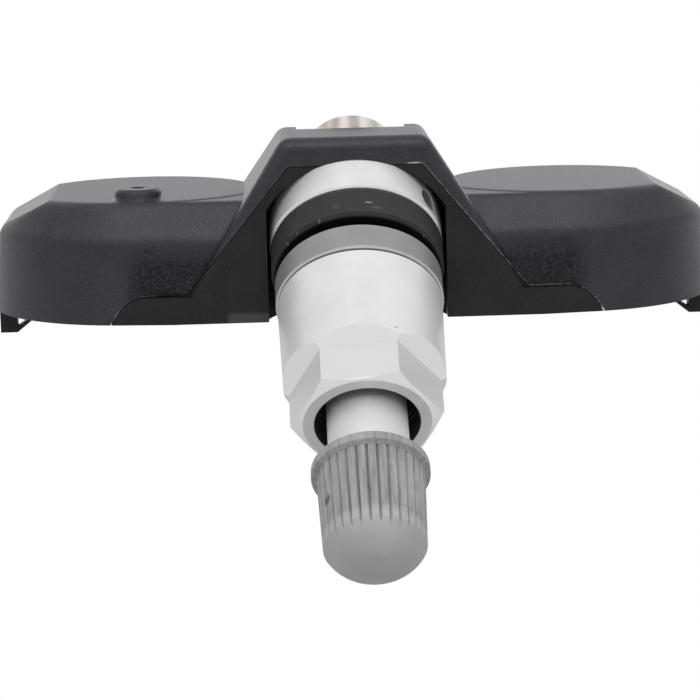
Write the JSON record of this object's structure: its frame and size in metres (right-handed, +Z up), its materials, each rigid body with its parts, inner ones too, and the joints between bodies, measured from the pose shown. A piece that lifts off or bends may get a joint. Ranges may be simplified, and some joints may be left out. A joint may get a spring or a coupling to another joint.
{
  "type": "tyre pressure sensor",
  "caption": "Clamp-in tyre pressure sensor: a low plastic housing with two round lobes, bridged over a tilted aluminium tyre valve with grommet, thrust ring, union nut and ribbed cap.",
  "frame": {"origin": "on the valve axis, where the grommet's flange bears on the inside of the rim", "axes": "+X along the housing from the port lobe to the cell lobe, +Y away from the valve cap, +Z up, out of the housing's top; the valve points down 37 degrees towards -Y"},
  "size_m": [0.0698, 0.0608, 0.0371],
  "materials": {
    "cover_plastic": "fine spark-eroded grain",
    "base_plastic": "smooth matt",
    "screw_steel": "bright plated",
    "aluminium": "satin",
    "black_rubber": "matt",
    "ring_metal": "matt grey",
    "cap_plastic": "matt grey",
    "core_brass": "turned",
    "spring_steel": "bright",
    "board": "solder mask",
    "chip_plastic": "moulded",
    "ferrite": "sintered",
    "copper": "bare"
  },
  "bodies": {
    "housing": {"upper_cover": "cover_plastic", "base_shell": "base_plastic", "fastening_screw": "screw_steel", "valve_stem": "aluminium", "rim_grommet": "black_rubber", "core_body": "core_brass", "core_gasket": "black_rubber", "core_spring": "spring_steel", "circuit_board": "board", "coin_cell": "spring_steel", "cell_tab_negative": "spring_steel", "cell_tab_positive": "spring_steel", "pressure_chip": "chip_plastic", "port_gasket": "black_rubber", "controller_chip": "chip_plastic", "crystal": "spring_steel", "ferrite_core": "ferrite", "coil_winding": "copper", "radio_antenna": "copper"},
    "ring": {"thrust_ring": "ring_metal"},
    "nut": {"union_nut": "aluminium"},
    "cap_disc": {"cap_seal": "black_rubber"},
    "cap": {"valve_cap": "cap_plastic"},
    "pin": {"core_pin": "core_brass", "core_cup": "black_rubber"}
  },
  "joints": [
    {"name": "ring_slide", "type": "slide", "parent": "housing", "child": "ring", "axis": [0, -0.7986, -0.6018], "range_m": [0, 0.004]},
    {"name": "nut_turn", "type": "hinge", "parent": "ring", "child": "nut", "pos_m": [0, 0, 0], "axis": [0, -0.7986, -0.6018], "range_deg": [0, 1921]},
    {"name": "cap_lift", "type": "slide", "parent": "housing", "child": "cap_disc", "axis": [0, -0.7986, -0.6018], "range_m": [0, 0.0087]},
    {"name": "cap_turn", "type": "hinge", "parent": "cap_disc", "child": "cap", "pos_m": [0, 0, 0], "axis": [0, -0.7986, -0.6018], "range_deg": [0, 3960]},
    {"name": "core_press", "type": "slide", "parent": "housing", "child": "pin", "axis": [0, 0.7986, 0.6018], "range_m": [0, 0.0012], "stiffness_N_per_m": 800, "springref_m": -0.002, "deforming": ["core_spring"]}
  ],
  "couplings": [
    {"joint": "nut_turn", "follows": "ring_slide", "rad_per_m": 8377.6},
    {"joint": "cap_turn", "follows": "cap_lift", "rad_per_m": 7913.3}
  ]
}
